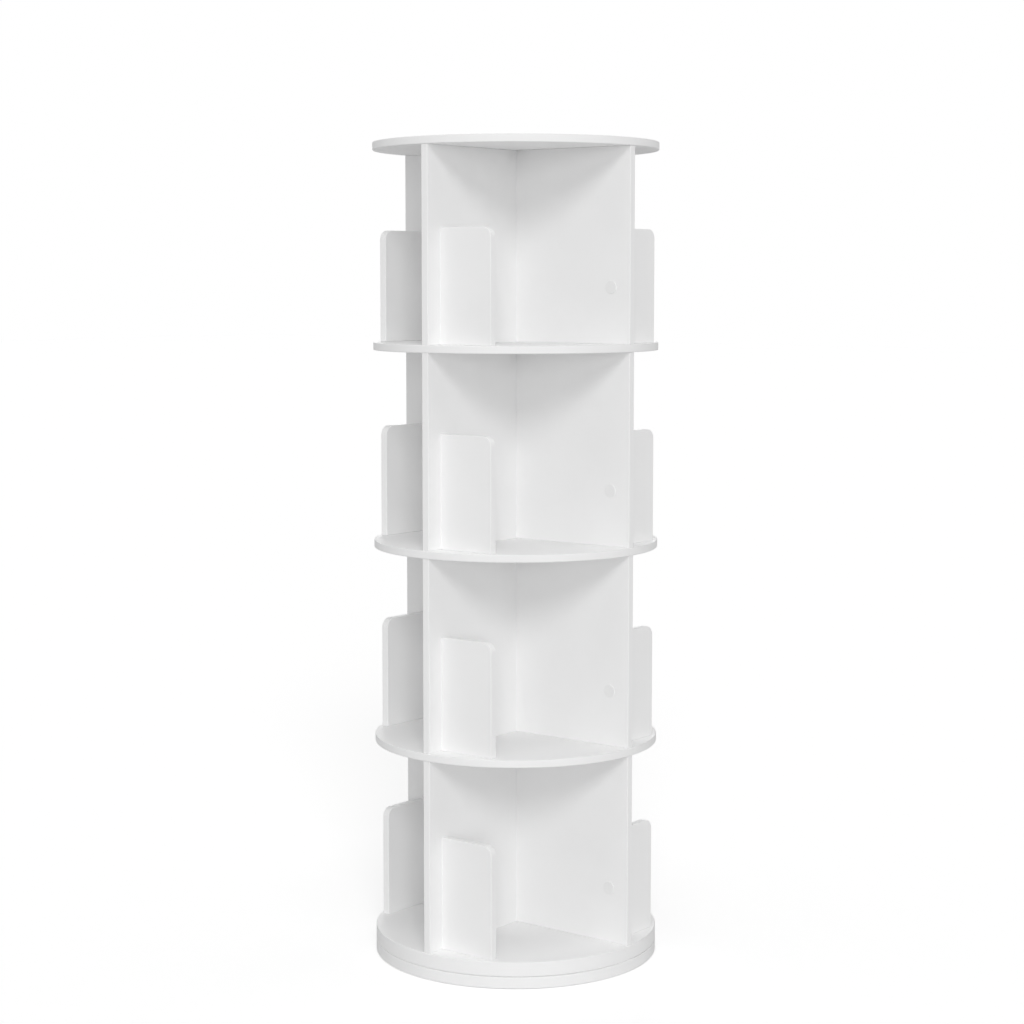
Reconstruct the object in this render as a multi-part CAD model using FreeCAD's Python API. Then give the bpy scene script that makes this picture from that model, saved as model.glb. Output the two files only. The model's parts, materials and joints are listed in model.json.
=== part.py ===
import FreeCAD, Part
import math
import os

# A revolving bookcase. Round boards carry tiers of upright panels set as a cross, with a book stop
# on each arm of the cross. The case turns on a ball-bearing turntable over a round base board.
# Lengths are millimetres. The origin is on the floor under the axis of the turntable, and +Z is up.

Vector = FreeCAD.Vector

# Overall sizes
shelf_diameter = 450.0
panel_height = 299.5
tier_count = 4

# Round boards
shelf_thickness = 12.0
bottom_shelf_thickness = 22.7
base_thickness = 18.0
rim_edge_radius = 1.2
base_upper_edge_radius = 2.0
base_lower_edge_radius = 0.6

# Upright panels: their ends stop a little inside the rim of the boards. The foot radius eases the edges
# at the foot and head of the panels, and at the foot of the book stops.
panel_thickness = 12.0
panel_inset = 1.5
panel_edge_radius = 1.0
foot_edge_radius = 0.8

# Book stops: set in from the end of the arm, with one round corner at the top of the free end
stop_length = 97.0
stop_height = 176.0
stop_thickness = 12.0
stop_setback = 29.5
stop_corner_radius = 15.0
stop_edge_radius = 1.0

# Glide pads, let into the underside of the base board so that they stand a little proud of it
pad_diameter = 25.0
pad_thickness = 3.0
pad_recess_depth = 2.0
pad_margin = 12.0
pad_count = 6

# Turntable: two rings side by side with balls between them. The lift is the running gap under the
# inner ring and over the outer ring.
spin_gap = 0.3
bearing_diameter = 300.0
ring_width = 12.0
ring_height = 7.0
ring_lift = 1.0
race_gap = 2.4
recess_clearance = 2.0
ball_diameter = 4.0
ball_clearance = 0.15
ball_count = 36
cage_thickness = 1.2
cage_height = 6.0
ring_screw_count = 8
ring_screw_diameter = 3.5
ring_screw_head_diameter = 7.0
ring_screw_point = 4.0
ring_screw_slot_width = 0.9
ring_screw_slot_depth = 1.0
access_hole_diameter = 10.0

# Wooden dowels
dowel_diameter = 6.0
dowel_depth = 12.0
dowel_chamfer = 0.8
dowel_end_gap = 0.5
cross_dowel_depth = 20.0
stop_dowel_depth = 16.0

# Cam locks and their bolts: the setback is from the edge of the panel to the middle of the cam
cam_diameter = 15.0
cam_setback = 24.0
cam_slot_length = 8.0
cam_slot_width = 1.4
cam_slot_depth = 1.2
bolt_thread_diameter = 6.0
bolt_shaft_diameter = 5.0
bolt_neck_diameter = 3.6
bolt_head_diameter = 6.4
bolt_head_length = 2.6
bolt_past_centre = 2.0
cam_cover_diameter = 18.0
cam_cover_thickness = 0.8

# Screws that hold the book stops, and the caps over their heads
stop_screw_diameter = 4.0
stop_screw_head_diameter = 8.0
stop_screw_head_height = 3.0
stop_screw_bite = 30.0
stop_screw_point = 4.0
stop_screw_slot_width = 1.0
stop_screw_slot_depth = 1.2
stop_cap_diameter = 20.0
stop_cap_thickness = 1.0
stop_cap_headroom = 0.3

# Clearances: round a fastener in its hole, and the board that is left behind a blind hole or a cam
hole_clearance = 0.1
blind_cover = 4.0
cam_web = 2.5
overrun = 1.0

# Places along an arm and up a tier, as shares of the arm's reach, the panel and the book stop
cam_place_share = 0.42
dowel_place_share = 0.62
cross_dowel_shares = (0.25, 0.75)
stop_screw_share = 0.49
stop_dowel_shares = (0.2, 0.8)

# First place of a pattern round the axis, as a share of its step
screw_start_share = 0.5
pad_start_share = 0.5

# Limits of rounding, as a share of the wall that carries it
round_limit_share = 0.4
cap_round_share = 0.6

# The four arms of the cross, a quarter turn apart, from +X. Cams are drilled from one face of each
# panel: the face on the stop's side of the wings, and the -X face of the through panel.
arm_names = ("right", "back", "left", "front")
cam_sides = {"right": 1, "back": 1, "left": 1, "front": -1}
full_turn_degrees = 360.0
quarter_turn_degrees = full_turn_degrees / len(arm_names)

# Heights of the base, the turntable and the tiers
base_underside = pad_thickness - pad_recess_depth
base_top = base_underside + base_thickness
bottom_shelf_underside = base_top + spin_gap
bottom_shelf_top = bottom_shelf_underside + bottom_shelf_thickness
bearing_height = ring_height + ring_lift
recess_ceiling = base_top + bearing_height
recess_depth = recess_ceiling - bottom_shelf_underside
bottom_web = bottom_shelf_top - recess_ceiling
tier_pitch = panel_height + shelf_thickness
tier_floors = [bottom_shelf_top + tier * tier_pitch for tier in range(tier_count)]

# Places along an arm
shelf_radius = shelf_diameter / 2
panel_half = panel_thickness / 2
arm_reach = shelf_radius - panel_inset
cam_place = arm_reach * cam_place_share
dowel_place = arm_reach * dowel_place_share
stop_outer_face = arm_reach - stop_setback
stop_inner_face = stop_outer_face - stop_thickness
stop_middle = stop_outer_face - stop_thickness / 2
stop_screw_height = stop_height * stop_screw_share

# Radii of the turntable
bearing_radius = bearing_diameter / 2
outer_ring_inner_radius = bearing_radius - ring_width
inner_ring_outer_radius = outer_ring_inner_radius - race_gap
inner_ring_inner_radius = inner_ring_outer_radius - ring_width
outer_screw_radius = bearing_radius - ring_width / 2
inner_screw_radius = inner_ring_outer_radius - ring_width / 2
ball_circle_radius = inner_ring_outer_radius + race_gap / 2
ball_height = base_top + bearing_height / 2
ball_pocket_diameter = ball_diameter + 2 * ball_clearance

# Holes and depths that follow the pads and the fasteners
pad_hole = pad_diameter + 2 * hole_clearance
dowel_hole = dowel_diameter + 2 * hole_clearance
bolt_board_hole = bolt_thread_diameter + 2 * hole_clearance
bolt_panel_hole = bolt_head_diameter + 2 * hole_clearance
cam_hole = cam_diameter + 2 * hole_clearance
cam_depth = panel_thickness - cam_web
bolt_head_end = cam_setback + bolt_past_centre
bolt_head_start = bolt_head_end - bolt_head_length
bolt_neck_start = cam_setback - cam_diameter / 2 - hole_clearance
bottom_blind_depth = bottom_web - blind_cover
top_blind_depth = shelf_thickness - blind_cover
panel_blind_depth = panel_thickness - blind_cover
stop_screw_hole = stop_screw_diameter + 2 * hole_clearance
stop_screw_recess = stop_screw_head_diameter + 2 * hole_clearance
stop_screw_recess_depth = stop_screw_head_height + stop_cap_headroom
base_screw_bite = base_thickness - blind_cover
shelf_screw_bite = bottom_web - blind_cover

ORIGIN = Vector(0, 0, 0)
UP = Vector(0, 0, 1)
DOWN = Vector(0, 0, -1)


# Helpers

def lathe(profile):
    """Solid turned about Z from (radius, height) points that start and end on the axis."""
    points = [Vector(radius, 0, height) for radius, height in profile]
    outline = Part.makePolygon(points + points[:1])
    return Part.Face(outline).revolve(ORIGIN, UP, full_turn_degrees)


def block(low, high):
    """Box between two opposite corners."""
    size = high - low
    return Part.makeBox(size.x, size.y, size.z, low)


def bore(diameter, mouth, inward, depth):
    """Cutter for a round hole that starts just outside its mouth."""
    return Part.makeCylinder(diameter / 2, depth + overrun, mouth - inward * overrun, inward)


def turned(shape, angle):
    """Copy of a shape turned about the axis of the turntable."""
    copy = shape.copy()
    copy.rotate(ORIGIN, UP, angle)
    return copy


def moved(shape, offset):
    """Copy of a shape moved by a vector."""
    copy = shape.copy()
    copy.translate(offset)
    return copy


def on_arm(shape, arm, height=0):
    """Copy of a shape made along +X, carried round to an arm of the cross and up to a height."""
    return moved(turned(shape, quarter_turn_degrees * arm_names.index(arm)), Vector(0, 0, height))


def ring_of(shape, count, start_share=0):
    """Copies of a shape spread evenly round the axis, starting at a share of one step."""
    step = full_turn_degrees / count
    return [turned(shape, step * (index + start_share)) for index in range(count)]


def safe_round(radius, wall):
    """A rounding that never takes more than its share of the wall."""
    return min(radius, wall * round_limit_share)


def round_edges_of(solid):
    """The closed circular edges of a turned solid."""
    return [edge for edge in solid.Edges if edge.isClosed()]


def disc(radius, thickness, height, lower_radius, upper_radius):
    """Round board with its lower and its upper rim rounded."""
    board = Part.makeCylinder(radius, thickness, Vector(0, 0, height))
    middle = height + thickness / 2
    lower_rim = [edge for edge in round_edges_of(board) if edge.Curve.Center.z < middle]
    board = board.makeFillet(safe_round(lower_radius, thickness), lower_rim)
    upper_rim = [edge for edge in round_edges_of(board) if edge.Curve.Center.z > middle]
    return board.makeFillet(safe_round(upper_radius, thickness), upper_rim)


def cap(diameter, thickness, place, outward):
    """Thin round cap on a face, with its outer rim rounded."""
    body = Part.makeCylinder(diameter / 2, thickness, place, outward)
    face_middle = place + outward * thickness
    rim = [edge for edge in round_edges_of(body)
           if (edge.Curve.Center - face_middle).Length < thickness / 2]
    return body.makeFillet(thickness * cap_round_share, rim)


def dowel(start, end):
    """Wooden dowel between two points, with chamfered ends."""
    along = end - start
    rod = Part.makeCylinder(dowel_diameter / 2, along.Length, start, along)
    return rod.makeChamfer(safe_round(dowel_chamfer, dowel_diameter / 2), round_edges_of(rod))


def panel_ends():
    """Bottom and top edge of an upright panel: the height of the edge and the way into the panel."""
    return ((0, UP), (panel_height, DOWN))


# Turntable screws

def ring_screw_profile(bite, grow):
    """Outline of a countersunk screw with its head at zero, pointing down, grown by a clearance."""
    head_radius = ring_screw_head_diameter / 2 + grow
    shank_radius = ring_screw_diameter / 2 + grow
    head_height = head_radius - shank_radius
    length = ring_height + bite
    return [(0, 0), (0, -length - grow), (shank_radius, -length + ring_screw_point),
            (shank_radius, -head_height), (head_radius, 0)]


def ring_screw(bite):
    """Countersunk screw with a cross slot."""
    screw = lathe(ring_screw_profile(bite, 0))
    reach = ring_screw_diameter / 2
    half = ring_screw_slot_width / 2
    slot = block(Vector(-reach, -half, -ring_screw_slot_depth), Vector(reach, half, overrun))
    return screw.cut([slot, turned(slot, quarter_turn_degrees)])


def ring_screw_cutter(bite):
    """Countersunk hole for a turntable screw, open above its head."""
    hole = lathe(ring_screw_profile(bite, hole_clearance))
    mouth = Part.makeCylinder(ring_screw_head_diameter / 2 + hole_clearance, overrun)
    return hole.fuse(mouth)


def outer_screw_places(shape):
    """A screw shape of the outer ring, head up, at each of its places."""
    place = Vector(outer_screw_radius, 0, base_top + ring_height)
    return ring_of(moved(shape, place), ring_screw_count, screw_start_share)


def inner_screw_places(shape):
    """A screw shape of the inner ring, head down, at each of its places."""
    upturned = shape.copy()
    upturned.rotate(ORIGIN, Vector(1, 0, 0), full_turn_degrees / 2)
    place = Vector(inner_screw_radius, 0, base_top + ring_lift)
    return ring_of(moved(upturned, place), ring_screw_count, screw_start_share)


# Turntable rings, balls and cage

def ring(inner_radius, outer_radius, height, bottom):
    """Plain square ring."""
    outside = Part.makeCylinder(outer_radius, height, Vector(0, 0, bottom))
    inside = Part.makeCylinder(inner_radius, height + 2 * overrun, Vector(0, 0, bottom - overrun))
    return outside.cut(inside)


def ball_track():
    """Cutter for the groove that the balls run in."""
    return Part.makeTorus(ball_circle_radius, ball_pocket_diameter / 2, Vector(0, 0, ball_height))


def bearing_outer_ring():
    body = ring(outer_ring_inner_radius, bearing_radius, ring_height, base_top)
    return body.cut([ball_track()] + outer_screw_places(ring_screw_cutter(base_screw_bite)))


def bearing_inner_ring():
    body = ring(inner_ring_inner_radius, inner_ring_outer_radius, ring_height, base_top + ring_lift)
    return body.cut([ball_track()] + inner_screw_places(ring_screw_cutter(shelf_screw_bite)))


def ball_cage():
    inner_radius = ball_circle_radius - cage_thickness / 2
    outer_radius = ball_circle_radius + cage_thickness / 2
    body = ring(inner_radius, outer_radius, cage_height, ball_height - cage_height / 2)
    pocket = bore(ball_pocket_diameter, Vector(inner_radius, 0, ball_height), Vector(1, 0, 0),
                  cage_thickness + overrun)
    return body.cut(ring_of(pocket, ball_count))


def bearing_balls():
    ball = Part.makeSphere(ball_diameter / 2, Vector(ball_circle_radius, 0, ball_height))
    return ring_of(ball, ball_count)


# Round boards

def base_board():
    board = disc(shelf_radius, base_thickness, base_underside, base_lower_edge_radius,
                 base_upper_edge_radius)
    access = bore(access_hole_diameter, Vector(inner_screw_radius, 0, base_underside), UP,
                  base_thickness + overrun)
    first_access = ring_of(access, ring_screw_count, screw_start_share)[0]
    recesses = pad_places(bore(pad_hole, Vector(0, 0, base_underside), UP, pad_recess_depth))
    screw_holes = outer_screw_places(ring_screw_cutter(base_screw_bite))
    return board.cut([first_access] + recesses + screw_holes)


def pad_places(shape):
    """A shape on the axis, carried to the place of each glide pad."""
    pad_circle_radius = shelf_radius - pad_margin - pad_diameter / 2
    return ring_of(moved(shape, Vector(pad_circle_radius, 0, 0)), pad_count, pad_start_share)


def glide_pads():
    return pad_places(Part.makeCylinder(pad_diameter / 2, pad_thickness))


def board_bores(height, inward, depth):
    """Bolt and dowel holes of the four arms, drilled into one face of a round board."""
    holes = (bore(bolt_board_hole, Vector(cam_place, 0, height), inward, depth),
             bore(dowel_hole, Vector(dowel_place, 0, height), inward, depth))
    return [on_arm(hole, arm) for arm in arm_names for hole in holes]


def bottom_shelf():
    board = disc(shelf_radius, bottom_shelf_thickness, bottom_shelf_underside, rim_edge_radius,
                 rim_edge_radius)
    recess = bore(bearing_diameter + 2 * recess_clearance, Vector(0, 0, bottom_shelf_underside), UP,
                  recess_depth)
    screw_holes = inner_screw_places(ring_screw_cutter(shelf_screw_bite))
    return board.cut([recess] + screw_holes + board_bores(bottom_shelf_top, DOWN, bottom_blind_depth))


def shelf(underside):
    board = disc(shelf_radius, shelf_thickness, underside, rim_edge_radius, rim_edge_radius)
    return board.cut(board_bores(underside, UP, shelf_thickness + overrun))


def top_board(underside):
    board = disc(shelf_radius, shelf_thickness, underside, rim_edge_radius, rim_edge_radius)
    return board.cut(board_bores(underside, UP, top_blind_depth))


# Upright panels

def arm_bores(cam_side):
    """Holes in one arm of a panel that lies along +X, with its cams on the +Y or -Y face."""
    holes = []
    for edge_height, inward in panel_ends():
        cam_face = Vector(cam_place, cam_side * panel_half, edge_height + inward.z * cam_setback)
        holes.append(bore(cam_hole, cam_face, Vector(0, -cam_side, 0), cam_depth))
        holes.append(bore(bolt_panel_hole, Vector(cam_place, 0, edge_height), inward, cam_setback))
        holes.append(bore(dowel_hole, Vector(dowel_place, 0, edge_height), inward,
                          dowel_depth + dowel_end_gap))
    screw_mouth = Vector(stop_middle, -panel_half, stop_screw_height)
    into_stop = Vector(0, 1, 0)
    holes.append(bore(stop_screw_hole, screw_mouth, into_stop, panel_thickness + overrun))
    holes.append(bore(stop_screw_recess, screw_mouth, into_stop, stop_screw_recess_depth))
    for share in stop_dowel_shares:
        mouth = Vector(stop_middle, panel_half, stop_height * share)
        holes.append(bore(dowel_hole, mouth, -into_stop, panel_blind_depth))
    return holes


def end_edges(panel):
    """The upright edges at the outer ends of a panel that lies along X."""
    boxes = [(edge, edge.BoundBox) for edge in panel.Edges]
    return [edge for edge, box in boxes
            if box.ZLength > box.XLength + box.YLength and abs(box.Center.x) > arm_reach / 2]


def level_edges(panel):
    """The edges round a panel's foot and head, but for those that butt against another panel."""
    boxes = [(edge, edge.BoundBox) for edge in panel.Edges]
    return [edge for edge, box in boxes
            if box.ZLength < box.XLength + box.YLength
            and (box.XLength > box.YLength or abs(box.Center.x) > arm_reach / 2)]


def upright_board(inner_end):
    """Plain panel along +X, from its inner end to the reach of the arm, with rounded outer ends."""
    board = block(Vector(inner_end, -panel_half, 0), Vector(arm_reach, panel_half, panel_height))
    board = board.makeFillet(safe_round(panel_edge_radius, panel_thickness), end_edges(board))
    return board.makeFillet(safe_round(foot_edge_radius, panel_thickness), level_edges(board))


def wing_panel():
    """Panel that butts against one face of the through panel."""
    holes = arm_bores(cam_sides["right"])
    for share in cross_dowel_shares:
        mouth = Vector(panel_half, 0, panel_height * share)
        holes.append(bore(dowel_hole, mouth, Vector(1, 0, 0), cross_dowel_depth + dowel_end_gap))
    return upright_board(panel_half).cut(holes)


def through_panel():
    """Panel that runs across the whole case, from the front arm to the back arm."""
    back_bores = [on_arm(hole, "back") for hole in arm_bores(cam_sides["back"])]
    front_bores = [on_arm(hole, "front") for hole in arm_bores(cam_sides["front"])]
    cross_bores = [bore(dowel_hole, Vector(-panel_half, 0, panel_height * share), Vector(1, 0, 0),
                        panel_thickness + overrun) for share in cross_dowel_shares]
    return on_arm(upright_board(-arm_reach), "back").cut(back_bores + front_bores + cross_bores)


# Book stops

def book_stop():
    """Upright stop that stands out from the +Y face of an arm, square at the foot."""
    near = panel_half
    far = panel_half + stop_length
    radius = min(stop_corner_radius, stop_length * round_limit_share, stop_height * round_limit_share)
    diagonal = radius * (1 - math.sqrt(1 / 2))
    corner_start = Vector(stop_inner_face, far, stop_height - radius)
    corner_middle = Vector(stop_inner_face, far - diagonal, stop_height - diagonal)
    corner_end = Vector(stop_inner_face, far - radius, stop_height)
    foot_near = Vector(stop_inner_face, near, 0)
    foot_far = Vector(stop_inner_face, far, 0)
    head_near = Vector(stop_inner_face, near, stop_height)
    outline = Part.Wire([Part.makeLine(foot_near, foot_far),
                         Part.makeLine(foot_far, corner_start),
                         Part.Arc(corner_start, corner_middle, corner_end).toShape(),
                         Part.makeLine(corner_end, head_near),
                         Part.makeLine(head_near, foot_near)])
    board = Part.Face(outline).extrude(Vector(stop_thickness, 0, 0))
    board = board.makeFillet(safe_round(stop_edge_radius, stop_thickness), free_edges(board))
    board = board.makeFillet(safe_round(foot_edge_radius, stop_thickness), foot_edges(board))
    holes = [bore(stop_screw_hole, Vector(stop_middle, near, stop_screw_height), Vector(0, 1, 0),
                  stop_screw_bite + dowel_end_gap)]
    for share in stop_dowel_shares:
        holes.append(bore(dowel_hole, Vector(stop_middle, near, stop_height * share),
                          Vector(0, 1, 0), stop_dowel_depth + dowel_end_gap))
    return board.cut(holes)


def free_edges(board):
    """Edges of a book stop's two faces along its free end, its round corner and its top."""
    boxes = [(edge, edge.BoundBox) for edge in board.Edges]
    return [edge for edge, box in boxes
            if box.XLength < stop_thickness / 2 and box.ZMax > stop_height / 2
            and box.YMax > panel_half + stop_length / 2]


def foot_edges(board):
    """Edges round a book stop's foot, but for the one against the panel."""
    boxes = [(edge, edge.BoundBox) for edge in board.Edges]
    return [edge for edge, box in boxes
            if box.ZLength < box.XLength + box.YLength and box.ZMax < stop_height / 2
            and (box.YLength > box.XLength or box.Center.y > panel_half + stop_length / 2)]


# Fasteners of the panels and stops, in the frame of one arm

def bolt_tip_profile():
    """Outline of a cam bolt outside the board: shaft, neck and head, as (radius, distance)."""
    shaft = bolt_shaft_diameter / 2
    neck = bolt_neck_diameter / 2
    head = bolt_head_diameter / 2
    return [(shaft, 0), (shaft, bolt_neck_start), (neck, bolt_neck_start), (neck, bolt_head_start),
            (head, bolt_head_start), (head, bolt_head_end), (0, bolt_head_end)]


def cam_bolt_single(thread_depth):
    """Cam bolt screwed into one board, standing up from the board's face at zero."""
    thread = bolt_thread_diameter / 2
    return lathe([(0, -thread_depth), (thread, -thread_depth), (thread, 0)] + bolt_tip_profile())


def cam_bolt_double():
    """Cam bolt that passes through a shelf and holds a panel on both sides of it."""
    thread = bolt_thread_diameter / 2
    lower_tip = [(radius, -shelf_thickness - reach) for radius, reach in reversed(bolt_tip_profile())]
    return lathe(lower_tip + [(thread, -shelf_thickness), (thread, 0)] + bolt_tip_profile())


def cam_bolts_single():
    upright = cam_bolt_single(bottom_blind_depth)
    hanging = cam_bolt_single(top_blind_depth)
    hanging.rotate(ORIGIN, Vector(1, 0, 0), full_turn_degrees / 2)
    place = Vector(cam_place, 0, 0)
    top_underside = tier_floors[-1] + panel_height
    return ([on_arm(moved(upright, place), arm, bottom_shelf_top) for arm in arm_names]
            + [on_arm(moved(hanging, place), arm, top_underside) for arm in arm_names])


def cam_bolts_double():
    bolt = moved(cam_bolt_double(), Vector(cam_place, 0, 0))
    return [on_arm(bolt, arm, floor) for floor in tier_floors[1:] for arm in arm_names]


def cam_lock(cam_side, edge_height, inward):
    """Cam in the face of a panel, open inside round the neck and head of its bolt."""
    face = cam_side * panel_half
    inner_end = face - cam_side * (cam_depth + overrun)
    middle = edge_height + inward.z * cam_setback
    body = Part.makeCylinder(cam_diameter / 2, cam_depth, Vector(cam_place, face, middle),
                             Vector(0, -cam_side, 0))

    def cavity(diameter, start, end):
        half = diameter / 2 + hole_clearance
        heights = sorted((edge_height + inward.z * start, edge_height + inward.z * end))
        sides = sorted((cam_side * half, inner_end))
        return block(Vector(cam_place - half, sides[0], heights[0]),
                     Vector(cam_place + half, sides[1], heights[1]))

    head_room = cavity(bolt_head_diameter, bolt_head_start - hole_clearance,
                       bolt_head_end + hole_clearance)
    neck_room = cavity(bolt_neck_diameter, cam_setback - cam_diameter, bolt_head_start)
    slot_sides = sorted((face + cam_side * overrun, face - cam_side * cam_slot_depth))
    slot = block(Vector(cam_place - cam_slot_length / 2, slot_sides[0], middle - cam_slot_width / 2),
                 Vector(cam_place + cam_slot_length / 2, slot_sides[1], middle + cam_slot_width / 2))
    return body.cut([head_room, neck_room, slot])


def cam_cover(cam_side, edge_height, inward):
    """Thin cap over a cam."""
    place = Vector(cam_place, cam_side * panel_half, edge_height + inward.z * cam_setback)
    return cap(cam_cover_diameter, cam_cover_thickness, place, Vector(0, cam_side, 0))


def at_every_cam(make):
    """A piece made for each end of each arm, in every tier."""
    pieces = []
    for arm, cam_side in cam_sides.items():
        for edge_height, inward in panel_ends():
            piece = make(cam_side, edge_height, inward)
            pieces += [on_arm(piece, arm, floor) for floor in tier_floors]
    return pieces


def shelf_dowels_through():
    """Dowels through the shelves, which locate the panels above and below."""
    rod = dowel(Vector(dowel_place, 0, -shelf_thickness - dowel_depth), Vector(dowel_place, 0, dowel_depth))
    return [on_arm(rod, arm, floor) for floor in tier_floors[1:] for arm in arm_names]


def shelf_dowels_blind():
    """Dowels between the end boards and the lowest and highest panels."""
    low = dowel(Vector(dowel_place, 0, dowel_end_gap - bottom_blind_depth),
                Vector(dowel_place, 0, dowel_depth))
    high = dowel(Vector(dowel_place, 0, -dowel_depth),
                 Vector(dowel_place, 0, top_blind_depth - dowel_end_gap))
    top_underside = tier_floors[-1] + panel_height
    return ([on_arm(low, arm, bottom_shelf_top) for arm in arm_names]
            + [on_arm(high, arm, top_underside) for arm in arm_names])


def cross_dowels():
    """Dowels through the through panel that carry the two wings."""
    reach = panel_half + cross_dowel_depth
    rods = [dowel(Vector(-reach, 0, panel_height * share), Vector(reach, 0, panel_height * share))
            for share in cross_dowel_shares]
    return [moved(rod, Vector(0, 0, floor)) for floor in tier_floors for rod in rods]


def stop_dowels():
    """Dowels between the panels and the book stops."""
    start = panel_half - panel_blind_depth + dowel_end_gap
    end = panel_half + stop_dowel_depth
    rods = [dowel(Vector(stop_middle, start, stop_height * share),
                  Vector(stop_middle, end, stop_height * share)) for share in stop_dowel_shares]
    return [on_arm(rod, arm, floor) for floor in tier_floors for arm in arm_names for rod in rods]


def stop_screw():
    """Screw with a round head that sits in a panel's recess and bites into the book stop."""
    head = stop_screw_head_diameter / 2
    shank = stop_screw_diameter / 2
    length = panel_thickness - stop_screw_recess_depth + stop_screw_bite
    body = lathe([(0, -length), (shank, -length + stop_screw_point), (shank, 0), (head, 0),
                  (head, stop_screw_head_height), (0, stop_screw_head_height)])
    half = stop_screw_slot_width / 2
    slot = block(Vector(-shank, -half, stop_screw_head_height - stop_screw_slot_depth),
                 Vector(shank, half, stop_screw_head_height + overrun))
    screw = body.cut([slot, turned(slot, quarter_turn_degrees)])
    screw.rotate(ORIGIN, Vector(1, 0, 0), quarter_turn_degrees)
    return moved(screw, Vector(stop_middle, stop_screw_recess_depth - panel_half, stop_screw_height))


def stop_screw_cap():
    """Round cap over the head of a stop's screw."""
    return cap(stop_cap_diameter, stop_cap_thickness,
               Vector(stop_middle, -panel_half, stop_screw_height), Vector(0, -1, 0))


def at_every_stop(piece):
    """Copies of a piece at each arm of every tier."""
    return [on_arm(piece, arm, floor) for floor in tier_floors for arm in arm_names]


# The whole bookcase: one entry for each node, with a list of solids where a node is a group

nodes = {
    "base_board": base_board(),
    "glide_pads": glide_pads(),
    "bearing_outer_ring": bearing_outer_ring(),
    "bearing_outer_screws": outer_screw_places(ring_screw(base_screw_bite)),
    "ball_cage": ball_cage(),
    "bearing_balls": bearing_balls(),
    "bearing_inner_ring": bearing_inner_ring(),
    "bearing_inner_screws": inner_screw_places(ring_screw(shelf_screw_bite)),
    "bottom_shelf": bottom_shelf(),
    "top_board": top_board(tier_floors[-1] + panel_height),
    "shelf_dowels_through": shelf_dowels_through(),
    "shelf_dowels_blind": shelf_dowels_blind(),
    "cross_dowels": cross_dowels(),
    "stop_dowels": stop_dowels(),
    "cam_bolts_single": cam_bolts_single(),
    "cam_bolts_double": cam_bolts_double(),
    "cam_locks": at_every_cam(cam_lock),
    "cam_covers": at_every_cam(cam_cover),
    "stop_screws": at_every_stop(stop_screw()),
    "stop_screw_caps": at_every_stop(stop_screw_cap()),
}

wing = wing_panel()
spine = through_panel()
stop = book_stop()
for tier, floor in enumerate(tier_floors, start=1):
    if tier > 1:
        nodes[f"shelf_{tier - 1}"] = shelf(floor - shelf_thickness)
    nodes[f"through_panel_{tier}"] = moved(spine, Vector(0, 0, floor))
    for arm in ("right", "left"):
        nodes[f"{arm}_wing_panel_{tier}"] = on_arm(wing, arm, floor)
    for arm in arm_names:
        nodes[f"book_stop_{arm}_{tier}"] = on_arm(stop, arm, floor)

os.makedirs("parts", exist_ok=True)
for name, piece in nodes.items():
    shape = Part.makeCompound(piece) if isinstance(piece, list) else piece
    shape.exportStep(f"parts/{name}.step")
    print(name, len(shape.Solids), "solids,", round(shape.Volume), "mm3, valid", shape.isValid())
print(len(nodes), "nodes")
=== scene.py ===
# %% [markdown]
# # A revolving bookcase
# The real object is a stack of round white boards with crosses of upright panels between them. The
# whole case turns by hand on a flat ball bearing that hides between the lowest two discs.
# Every piece already exists as a measured solid, so the looks could be modelled again as meshes, or
# the solids could be dressed. They are dressed here: their edges are rounded as on the real boards,
# and a copy could only drift away from the sizes. The frame is loaded first and stays where it is.

# %% Load the bookcase
import json
import math

import bpy
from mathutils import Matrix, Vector

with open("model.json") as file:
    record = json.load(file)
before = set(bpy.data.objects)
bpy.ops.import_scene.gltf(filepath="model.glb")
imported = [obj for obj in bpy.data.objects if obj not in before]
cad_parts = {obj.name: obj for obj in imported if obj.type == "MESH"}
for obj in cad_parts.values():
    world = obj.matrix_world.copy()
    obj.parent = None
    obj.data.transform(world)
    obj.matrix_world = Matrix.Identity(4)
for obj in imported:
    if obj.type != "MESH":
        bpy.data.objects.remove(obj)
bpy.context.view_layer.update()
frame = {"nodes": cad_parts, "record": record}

scene = bpy.context.scene
scene.view_settings.view_transform = "Standard"

# %% [markdown]
# ## The camera
# The picture was taken from about chest height with a long lens, and its upright lines stay upright. A
# level camera with a large lens shift would give just that. Other views keep the shift, though, and a
# large one would push the bookcase out of them. So most of it is given to a small tilt here, which a
# long lens forgives. Distances are measured from the axis that the bookcase turns about.

# %% Place the camera
PHOTO_WIDTH_PIXELS = 1024
FOCAL_LENGTH_PIXELS = 2201.0
SENSOR_WIDTH_MM = 36.0
CAMERA_DISTANCE = 3.487
CAMERA_HEIGHT = 1.070
CAMERA_AZIMUTH = math.radians(37.71)
CAMERA_TILT = math.radians(5.16)
LENS_SHIFT_X = -0.0037
LENS_SHIFT_Y = -0.03


def towards(azimuth, elevation):
    """Unit vector from the axis outwards. Azimuth 0 is the frame's front, and 90 degrees its right."""
    level = math.cos(elevation)
    return Vector((math.sin(azimuth) * level, -math.cos(azimuth) * level, math.sin(elevation)))


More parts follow.
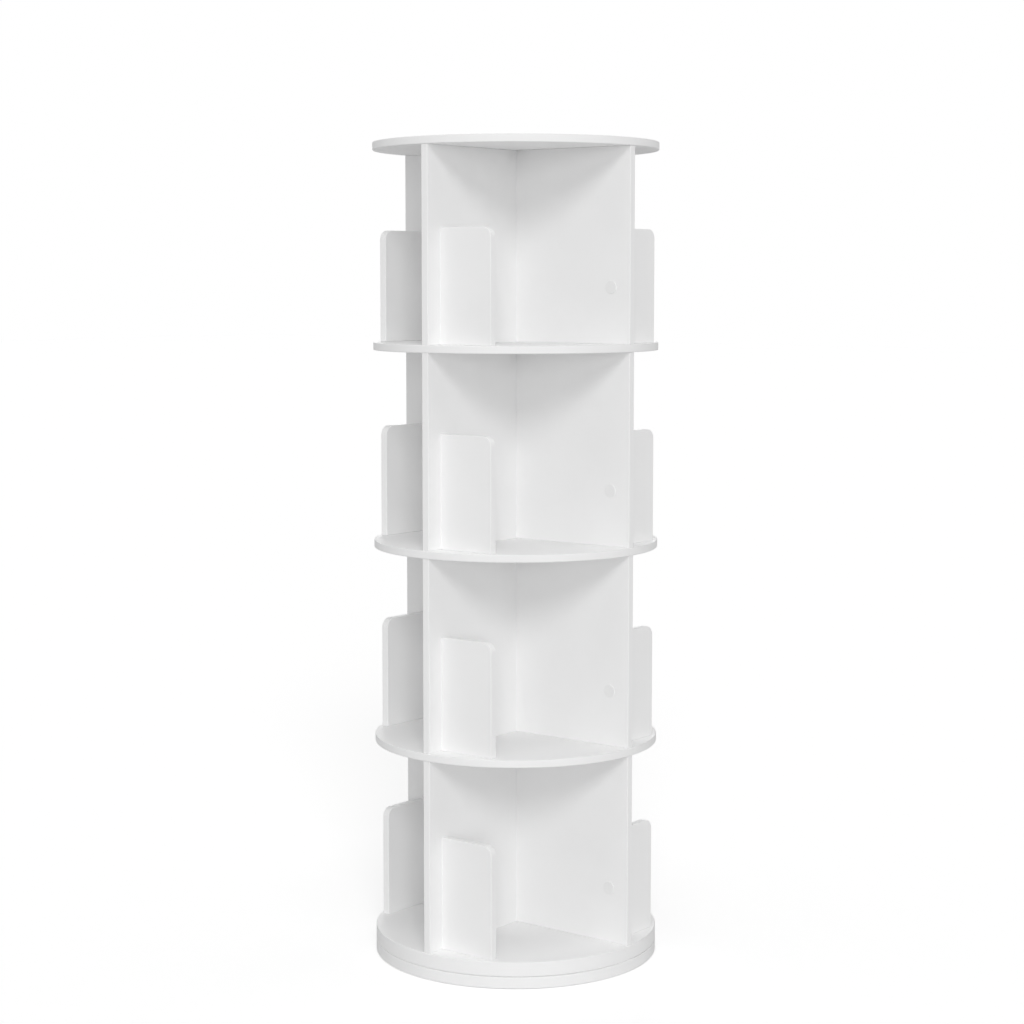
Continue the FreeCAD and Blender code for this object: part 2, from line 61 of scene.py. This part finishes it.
camera_data = bpy.data.cameras.new("photo_camera")
camera_data.sensor_width = SENSOR_WIDTH_MM
camera_data.lens = FOCAL_LENGTH_PIXELS / PHOTO_WIDTH_PIXELS * SENSOR_WIDTH_MM
camera_data.shift_x = LENS_SHIFT_X
camera_data.shift_y = LENS_SHIFT_Y
camera = bpy.data.objects.new("photo_camera", camera_data)
camera.location = towards(CAMERA_AZIMUTH, 0.0) * CAMERA_DISTANCE + Vector((0.0, 0.0, CAMERA_HEIGHT))
camera.rotation_mode = "QUATERNION"
camera.rotation_quaternion = (-towards(CAMERA_AZIMUTH, CAMERA_TILT)).to_track_quat("-Z", "Y")
scene.collection.objects.link(camera)
scene.camera = camera
print("lens in mm:", round(camera_data.lens, 2))

# %% [markdown]
# ## The room
# The picture is a product shot on white, lit from all round. A bright white room would do, but the
# white of the background would then also wash over the boards. So the world has two strengths: plain
# white where it is looked at, and a lower one where it lights things. The Light Path node tells the
# two apart, because it knows what each ray is for.

# %% Light the room
ROOM_LIGHT = 0.50
ROOM_WHITE = 1.0
WHITE = (1.0, 1.0, 1.0, 1.0)


def looked_at(tree):
    """Socket that is 1 for rays that show a surface, straight, mirrored or through glass, else 0."""
    path = tree.nodes.new("ShaderNodeLightPath")
    seen = path.outputs["Is Camera Ray"]
    for ray in ("Is Glossy Ray", "Is Transmission Ray"):
        either = tree.nodes.new("ShaderNodeMath")
        either.operation = "MAXIMUM"
        tree.links.new(seen, either.inputs[0])
        tree.links.new(path.outputs[ray], either.inputs[1])
        seen = either.outputs["Value"]
    return seen


def between(tree, share, low, high):
    """Socket that goes from low to high as a share goes from 0 to 1."""
    span = tree.nodes.new("ShaderNodeMapRange")
    span.inputs["To Min"].default_value = low
    span.inputs["To Max"].default_value = high
    tree.links.new(share, span.inputs["Value"])
    return span.outputs["Result"]


world = bpy.data.worlds.new("white_room")
world.use_nodes = True
scene.world = world
room = world.node_tree
background = room.nodes["Background"]
background.inputs["Color"].default_value = WHITE
room.links.new(between(room, looked_at(room), ROOM_LIGHT, ROOM_WHITE), background.inputs["Strength"])
print("room light:", ROOM_LIGHT, "where it lights,", ROOM_WHITE, "where it is seen")

# %% [markdown]
# ## The lamps
# A key lamp in front, above the camera and to its right, draws the soft slanting shade under each
# board. A fill lamp that shines almost level reaches under the boards, so that the inmost corners stay
# pale, and a top lamp brightens what lies flat. A back lamp does for the far side what the fill does
# for the near one, so that the boards look white from there too. Softboxes could be area lights, which
# fall off with distance. The shade is the same in all four tiers, so suns with a wide angle suit it
# better: their light is even all over.

# %% Hang the lamps
FRONT_AZIMUTH = math.radians(41.0)
BACK_AZIMUTH = FRONT_AZIMUTH + math.pi
LAMP_WIDTH = math.radians(18.0)
# Strength, azimuth and elevation of each lamp
LAMPS = {"key_lamp": (0.84, FRONT_AZIMUTH, math.radians(32.0)),
         "fill_lamp": (0.48, FRONT_AZIMUTH, math.radians(5.0)),
         "top_lamp": (0.34, FRONT_AZIMUTH, math.radians(75.0)),
         "back_lamp": (0.80, BACK_AZIMUTH, math.radians(5.0))}

lamps_on_floor = 0.0
for name, (strength, azimuth, elevation) in LAMPS.items():
    lamp_data = bpy.data.lights.new(name, "SUN")
    lamp_data.energy = strength
    lamp_data.angle = LAMP_WIDTH
    lamp = bpy.data.objects.new(name, lamp_data)
    lamp.rotation_mode = "QUATERNION"
    lamp.rotation_quaternion = towards(azimuth, elevation).to_track_quat("Z", "Y")
    scene.collection.objects.link(lamp)
    lamps_on_floor += strength * math.sin(elevation) / math.pi
    degrees = [round(math.degrees(angle)) for angle in (azimuth, elevation)]
    print(name, "of strength", strength, "at azimuth and elevation", degrees)

# %% [markdown]
# ## The floor paint
# A pale floor carries the soft shadow of the base. Plain paint would show a grey horizon against the
# white room, and a glowing floor would lose the shadow. So the paint is matt, and what it lacks of
# white in full light is added as a glow, only where it is looked at.

# %% Mix the floor paint
FLOOR_COLOUR = 0.72
floor_lit = FLOOR_COLOUR * (ROOM_LIGHT + lamps_on_floor)
floor_glow = ROOM_WHITE - floor_lit

floor_paint = bpy.data.materials.new("floor_paint")
floor_paint.use_nodes = True
paint = floor_paint.node_tree
paint.nodes.clear()
matt = paint.nodes.new("ShaderNodeBsdfDiffuse")
matt.inputs["Color"].default_value = (FLOOR_COLOUR, FLOOR_COLOUR, FLOOR_COLOUR, 1.0)
glow = paint.nodes.new("ShaderNodeEmission")
paint.links.new(between(paint, looked_at(paint), 0.0, floor_glow), glow.inputs["Strength"])
both = paint.nodes.new("ShaderNodeAddShader")
paint.links.new(matt.outputs["BSDF"], both.inputs[0])
paint.links.new(glow.outputs["Emission"], both.inputs[1])
floor_output = paint.nodes.new("ShaderNodeOutputMaterial")
paint.links.new(both.outputs["Shader"], floor_output.inputs["Surface"])
print("lit floor:", round(floor_lit, 3), "and its glow:", round(floor_glow, 3))

# %% [markdown]
# ## The floor
# A backdrop could curve up behind the bookcase, but in a white room nobody sees where the floor ends.
# So one flat square is enough, wide enough to reach far behind the bookcase in every view. It isn't
# part of the object.

# %% Lay the floor
FLOOR_HALF_WIDTH = 30.0
SQUARE = ((-1, -1), (1, -1), (1, 1), (-1, 1))

corners = [(FLOOR_HALF_WIDTH * x, FLOOR_HALF_WIDTH * y, 0.0) for x, y in SQUARE]
floor_mesh = bpy.data.meshes.new("studio_floor")
floor_mesh.from_pydata(corners, [], [(0, 1, 2, 3)])
floor_mesh.materials.append(floor_paint)
floor = bpy.data.objects.new("studio_floor", floor_mesh)
scene.collection.objects.link(floor)
print("floor size in m:", [round(side, 1) for side in floor.dimensions])

# %% [markdown]
# ## Patterns
# A finish could be painted as a picture and wrapped round the piece, or worked out by nodes. Nodes are
# used here, because they keep their detail at any distance and need no seams. The texture points are
# the piece's own, in metres, so that grain has its real size and turns with the case. A noise keeps
# mostly to its middle levels, so those are spread out.

# %% Noise in real sizes
NOISE_LOW = 0.3
NOISE_HIGH = 0.7
UNSTRETCHED = (1.0, 1.0, 1.0)


def finish(name):
    """New material, with its node tree and its surface shader."""
    material = bpy.data.materials.new(name)
    material.use_nodes = True
    return material, material.node_tree, material.node_tree.nodes["Principled BSDF"]


def own_points(tree, stretch=UNSTRETCHED):
    """Points of the piece in metres. A stretch below 1 along an axis draws the pattern out that way."""
    place = tree.nodes.new("ShaderNodeTexCoord")
    mapping = tree.nodes.new("ShaderNodeMapping")
    mapping.inputs["Scale"].default_value = stretch
    tree.links.new(place.outputs["Object"], mapping.inputs["Vector"])
    return mapping.outputs["Vector"]


def grain(tree, points, per_metre, detail=2.0):
    """Cloudy noise with so many blotches in a metre, spread over 0 to 1."""
    noise = tree.nodes.new("ShaderNodeTexNoise")
    noise.inputs["Scale"].default_value = per_metre
    noise.inputs["Detail"].default_value = detail
    tree.links.new(points, noise.inputs["Vector"])
    spread = tree.nodes.new("ShaderNodeMapRange")
    spread.inputs["From Min"].default_value = NOISE_LOW
    spread.inputs["From Max"].default_value = NOISE_HIGH
    tree.links.new(noise.outputs["Fac"], spread.inputs["Value"])
    return spread.outputs["Result"]


print("noise levels", NOISE_LOW, "to", NOISE_HIGH, "are spread over 0 to 1")

# %% [markdown]
# ## From pattern to surface
# A pattern shows only where it reaches the shader: as a tint, as a change of gloss, or as a relief. A
# relief could displace the mesh. It only bends the normal here, because all these grains are a small
# fraction of a millimetre deep, and the solids have to keep their shape.

# %% Tint and relief
def shades(tree, share, low, high):
    """Colour that goes from low to high as a share goes from 0 to 1."""
    ramp = tree.nodes.new("ShaderNodeValToRGB")
    for end, colour in zip(ramp.color_ramp.elements, (low, high)):
        end.color = (*colour, 1.0)
    tree.links.new(share, ramp.inputs["Fac"])
    return ramp.outputs["Color"]


def relief(tree, height, depth):
    """Normal of a surface whose height map is so many metres deep."""
    bump = tree.nodes.new("ShaderNodeBump")
    bump.inputs["Distance"].default_value = depth
    tree.links.new(height, bump.inputs["Height"])
    return bump.outputs["Normal"]


print("helpers for tint and relief are ready")

# %% [markdown]
# ## Dressing the pieces
# A finish could be given to a list of pieces by name. The record already says which material slot each
# piece belongs to, so it is asked instead, and a piece that is added later gets its finish too.

# %% Find the pieces of a slot
def nodes_of(slot):
    """Names of the pieces that the record gives to a material slot."""
    return [piece["node"] for piece in frame["record"]["subparts"] if piece["material_slot"] == slot]


def dress(material, names):
    """Give a finish to the named pieces, and say how many they are."""
    for name in names:
        for slot in frame["nodes"][name].material_slots:
            slot.material = material
    print(material.name, "dresses", len(names), "of", len(frame["nodes"]), "pieces")


# %% [markdown]
# ## White boards
# All the round boards, panels and book stops are fibreboard under a white satin laminate. Laminate
# could be one flat white, but then it looks like paper. The real one is never quite even: it has a
# faint cloudiness, patches that are a little more or less glossy, and a fine pearl grain pressed into
# it. Three noises of three sizes give those, each on its own socket. The gloss is kept low, or the
# white room would wash out what is seen at a slant.

# %% White laminate
BOARD_DIM = (0.910, 0.910, 0.910)
BOARD_CLEAR = (0.932, 0.932, 0.932)
BOARD_ROUGHNESS = (0.58, 0.70)
BOARD_GLOSS = 0.08
CLOUDS_PER_METRE = 9.0
PATCHES_PER_METRE = 45.0
PEARLS_PER_METRE = 1400.0
PEARL_DEPTH = 0.000012


def white_laminate():
    material, tree, surface = finish("white_laminate")
    points = own_points(tree)
    clouds = grain(tree, points, CLOUDS_PER_METRE, detail=4.0)
    patches = grain(tree, points, PATCHES_PER_METRE)
    pearl = grain(tree, points, PEARLS_PER_METRE, detail=1.0)
    tree.links.new(shades(tree, clouds, BOARD_DIM, BOARD_CLEAR), surface.inputs["Base Color"])
    tree.links.new(between(tree, patches, *BOARD_ROUGHNESS), surface.inputs["Roughness"])
    tree.links.new(relief(tree, pearl, PEARL_DEPTH), surface.inputs["Normal"])
    surface.inputs["Specular IOR Level"].default_value = BOARD_GLOSS
    return material


dress(white_laminate(), nodes_of("white_board"))

# %% [markdown]
# ## Cover caps
# Small round caps press in over the screws and the cams. They are moulded in white plastic, which is a
# shade greyer than the laminate beside it and a little smoother. It could share the laminate's finish,
# but then the caps would vanish. Their tone hardly varies, and their skin is the fine matt one that
# the mould was etched with.

# %% White plastic
CAP_DIM = (0.865, 0.865, 0.865)
CAP_CLEAR = (0.885, 0.885, 0.885)
CAP_ROUGHNESS = (0.38, 0.46)
CAP_CLOUDS_PER_METRE = 60.0
CAP_SKIN_PER_METRE = 2500.0
CAP_SKIN_DEPTH = 0.00001


def white_plastic():
    material, tree, surface = finish("white_plastic")
    points = own_points(tree)
    clouds = grain(tree, points, CAP_CLOUDS_PER_METRE)
    skin = grain(tree, points, CAP_SKIN_PER_METRE, detail=1.0)
    tree.links.new(shades(tree, clouds, CAP_DIM, CAP_CLEAR), surface.inputs["Base Color"])
    tree.links.new(between(tree, clouds, *CAP_ROUGHNESS), surface.inputs["Roughness"])
    tree.links.new(relief(tree, skin, CAP_SKIN_DEPTH), surface.inputs["Normal"])
    return material


dress(white_plastic(), nodes_of("cap_plastic"))

# %% [markdown]
# ## Turntable rings
# The two rings of the bearing are turned from aluminium and left as the lathe leaves them. The tool
# cuts a fine spiral, which shows as rings about the axis. A brushed look could come from anisotropy,
# but real grooves also catch light where they are coarse, so a ring wave makes the relief. At scale 1
# the wave node runs through 20 radians in a metre, so its scale follows from the width of a groove.

# %% Turned aluminium
METAL = 1.0
ALUMINIUM_DIM = (0.69, 0.70, 0.72)
ALUMINIUM_CLEAR = (0.75, 0.76, 0.78)
ALUMINIUM_ROUGHNESS = (0.28, 0.40)
STAINS_PER_METRE = 70.0
GROOVE_WIDTH = 0.0004
GROOVE_DEPTH = 0.000008
WAVE_RADIANS_PER_METRE = 20.0


def turned_aluminium():
    material, tree, surface = finish("turned_aluminium")
    points = own_points(tree)
    turning = tree.nodes.new("ShaderNodeTexWave")
    turning.wave_type = "RINGS"
    turning.rings_direction = "Z"
    turning.inputs["Scale"].default_value = math.tau / GROOVE_WIDTH / WAVE_RADIANS_PER_METRE
    tree.links.new(points, turning.inputs["Vector"])
    stains = grain(tree, points, STAINS_PER_METRE, detail=3.0)
    tree.links.new(shades(tree, stains, ALUMINIUM_DIM, ALUMINIUM_CLEAR), surface.inputs["Base Color"])
    tree.links.new(between(tree, stains, *ALUMINIUM_ROUGHNESS), surface.inputs["Roughness"])
    tree.links.new(relief(tree, turning.outputs["Fac"], GROOVE_DEPTH), surface.inputs["Normal"])
    surface.inputs["Metallic"].default_value = METAL
    return material


dress(turned_aluminium(), nodes_of("ring_metal"))

# %% [markdown]
# ## Screws and cam bolts
# Screws and bolts are steel with a bright zinc plating. The plating is dipped to keep it from rusting,
# and that leaves a faint play of bluish and yellowish patches. It could be a thin film in the shader,
# but a slow noise between two tones is enough at this size.

# %% Zinc plating
ZINC_BLUISH = (0.60, 0.62, 0.64)
ZINC_YELLOWISH = (0.66, 0.64, 0.57)
ZINC_ROUGHNESS = (0.22, 0.36)
TONES_PER_METRE = 160.0
CRYSTALS_PER_METRE = 3500.0
CRYSTAL_DEPTH = 0.000006


def zinc_plating():
    material, tree, surface = finish("zinc_plating")
    points = own_points(tree)
    tones = grain(tree, points, TONES_PER_METRE)
    crystals = grain(tree, points, CRYSTALS_PER_METRE, detail=1.0)
    tree.links.new(shades(tree, tones, ZINC_BLUISH, ZINC_YELLOWISH), surface.inputs["Base Color"])
    tree.links.new(between(tree, crystals, *ZINC_ROUGHNESS), surface.inputs["Roughness"])
    tree.links.new(relief(tree, crystals, CRYSTAL_DEPTH), surface.inputs["Normal"])
    surface.inputs["Metallic"].default_value = METAL
    return material


dress(zinc_plating(), nodes_of("screw_steel"))

# %% [markdown]
# ## Cams
# The cams that pull the bolts tight are die-cast in a zinc alloy. They could take the finish of the
# screws, but a casting keeps the dull, slightly grainy skin of its die, with flow marks where the metal
# ran in. So it is rougher and darker than the plated screws, and its grain is coarser.

# %% Cast zinc
CAST_DIM = (0.50, 0.51, 0.52)
CAST_CLEAR = (0.60, 0.61, 0.62)
CAST_ROUGHNESS = (0.40, 0.55)
FLOW_MARKS_PER_METRE = 220.0
CAST_SKIN_PER_METRE = 1800.0
CAST_SKIN_DEPTH = 0.00003


def cast_zinc():
    material, tree, surface = finish("cast_zinc")
    points = own_points(tree)
    flow = grain(tree, points, FLOW_MARKS_PER_METRE, detail=3.0)
    skin = grain(tree, points, CAST_SKIN_PER_METRE)
    tree.links.new(shades(tree, flow, CAST_DIM, CAST_CLEAR), surface.inputs["Base Color"])
    tree.links.new(between(tree, skin, *CAST_ROUGHNESS), surface.inputs["Roughness"])
    tree.links.new(relief(tree, skin, CAST_SKIN_DEPTH), surface.inputs["Normal"])
    surface.inputs["Metallic"].default_value = METAL
    return material


dress(cast_zinc(), nodes_of("cam_metal"))

# %% [markdown]
# ## Bearing balls
# The balls are hardened steel, ground and polished until they are nearly mirrors. They could be perfect
# mirrors, but that looks false so close. So the polish varies a little, as it does under a film of oil.

# %% Polished steel
STEEL_DIM = (0.78, 0.78, 0.80)
STEEL_CLEAR = (0.82, 0.82, 0.84)
STEEL_ROUGHNESS = (0.04, 0.10)
FILM_PER_METRE = 700.0


def polished_steel():
    material, tree, surface = finish("polished_steel")
    film = grain(tree, own_points(tree), FILM_PER_METRE, detail=3.0)
    tree.links.new(shades(tree, film, STEEL_DIM, STEEL_CLEAR), surface.inputs["Base Color"])
    tree.links.new(between(tree, film, *STEEL_ROUGHNESS), surface.inputs["Roughness"])
    surface.inputs["Metallic"].default_value = METAL
    return material


dress(polished_steel(), nodes_of("ball_steel"))

# %% [markdown]
# ## Ball cage
# A thin band of dark nylon keeps the balls apart. Tone and gloss could vary each by itself, but moulded
# nylon is satin and mottled where it cooled, and both come from that. So they follow one noise, and a
# finer one roughens the skin.

# %% Moulded nylon
NYLON_DIM = (0.17, 0.17, 0.18)
NYLON_CLEAR = (0.23, 0.23, 0.24)
NYLON_ROUGHNESS = (0.42, 0.55)
MOTTLES_PER_METRE = 120.0
NYLON_SKIN_PER_METRE = 2500.0
NYLON_SKIN_DEPTH = 0.00001


def moulded_nylon():
    material, tree, surface = finish("moulded_nylon")
    points = own_points(tree)
    mottle = grain(tree, points, MOTTLES_PER_METRE, detail=3.0)
    skin = grain(tree, points, NYLON_SKIN_PER_METRE, detail=1.0)
    tree.links.new(shades(tree, mottle, NYLON_DIM, NYLON_CLEAR), surface.inputs["Base Color"])
    tree.links.new(between(tree, mottle, *NYLON_ROUGHNESS), surface.inputs["Roughness"])
    tree.links.new(relief(tree, skin, NYLON_SKIN_DEPTH), surface.inputs["Normal"])
    return material


dress(moulded_nylon(), nodes_of("cage_plastic"))

# %% [markdown]
# ## Dowels
# Plain beech dowels line the panels up. Beech has a fine straight grain along the dowel with short
# dark flecks in it. Rings of a wave could draw a whole log, but on a thin dowel only the fibres show. A
# noise that is drawn out one way gives those, so the finish is made twice: for dowels that stand, and
# for those that lie, whichever way they point.

# %% Beech
DRAWN_OUT = 0.05
BEECH_DARK = (0.62, 0.45, 0.28)
BEECH_LIGHT = (0.78, 0.61, 0.41)
BEECH_ROUGHNESS = (0.55, 0.75)
WOOD_FIBRES_PER_METRE = 900.0
FLECKS_PER_METRE = 2600.0
WOOD_FIBRE_DEPTH = 0.00003
STANDING_DOWELS = ("shelf_dowels_through", "shelf_dowels_blind")


def beech(name, stretch):
    material, tree, surface = finish(name)
    points = own_points(tree, stretch)
    fibres = grain(tree, points, WOOD_FIBRES_PER_METRE, detail=4.0)
    flecks = grain(tree, points, FLECKS_PER_METRE, detail=1.0)
    tree.links.new(shades(tree, fibres, BEECH_DARK, BEECH_LIGHT), surface.inputs["Base Color"])
    tree.links.new(between(tree, flecks, *BEECH_ROUGHNESS), surface.inputs["Roughness"])
    tree.links.new(relief(tree, fibres, WOOD_FIBRE_DEPTH), surface.inputs["Normal"])
    return material


dress(beech("standing_beech", (1.0, 1.0, DRAWN_OUT)), STANDING_DOWELS)
lying_dowels = [name for name in nodes_of("dowel_wood") if name not in STANDING_DOWELS]
dress(beech("lying_beech", (DRAWN_OUT, DRAWN_OUT, 1.0)), lying_dowels)

# %% [markdown]
# ## Glide pads
# Felt pads under the base keep it from scratching the floor. Loose hairs could be grown on them, but
# the pads hardly show. Felt is a mat of pressed fibres with no weave, so a fine tangled noise gives
# both its tone and its relief, and a soft sheen stands for the fibre ends that catch light at the edge.

# %% Pressed felt
FELT_DARK = (0.25, 0.24, 0.23)
FELT_LIGHT = (0.35, 0.34, 0.33)
FELT_ROUGHNESS = (0.90, 1.0)
FELT_SHEEN = 0.3
FELT_FIBRES_PER_METRE = 1600.0
FELT_DEPTH = 0.0003


def pressed_felt():
    material, tree, surface = finish("pressed_felt")
    points = own_points(tree)
    fibres = grain(tree, points, FELT_FIBRES_PER_METRE, detail=5.0)
    tree.links.new(shades(tree, fibres, FELT_DARK, FELT_LIGHT), surface.inputs["Base Color"])
    tree.links.new(between(tree, fibres, *FELT_ROUGHNESS), surface.inputs["Roughness"])
    tree.links.new(relief(tree, fibres, FELT_DEPTH), surface.inputs["Normal"])
    surface.inputs["Sheen Weight"].default_value = FELT_SHEEN
    return material


dress(pressed_felt(), nodes_of("felt"))
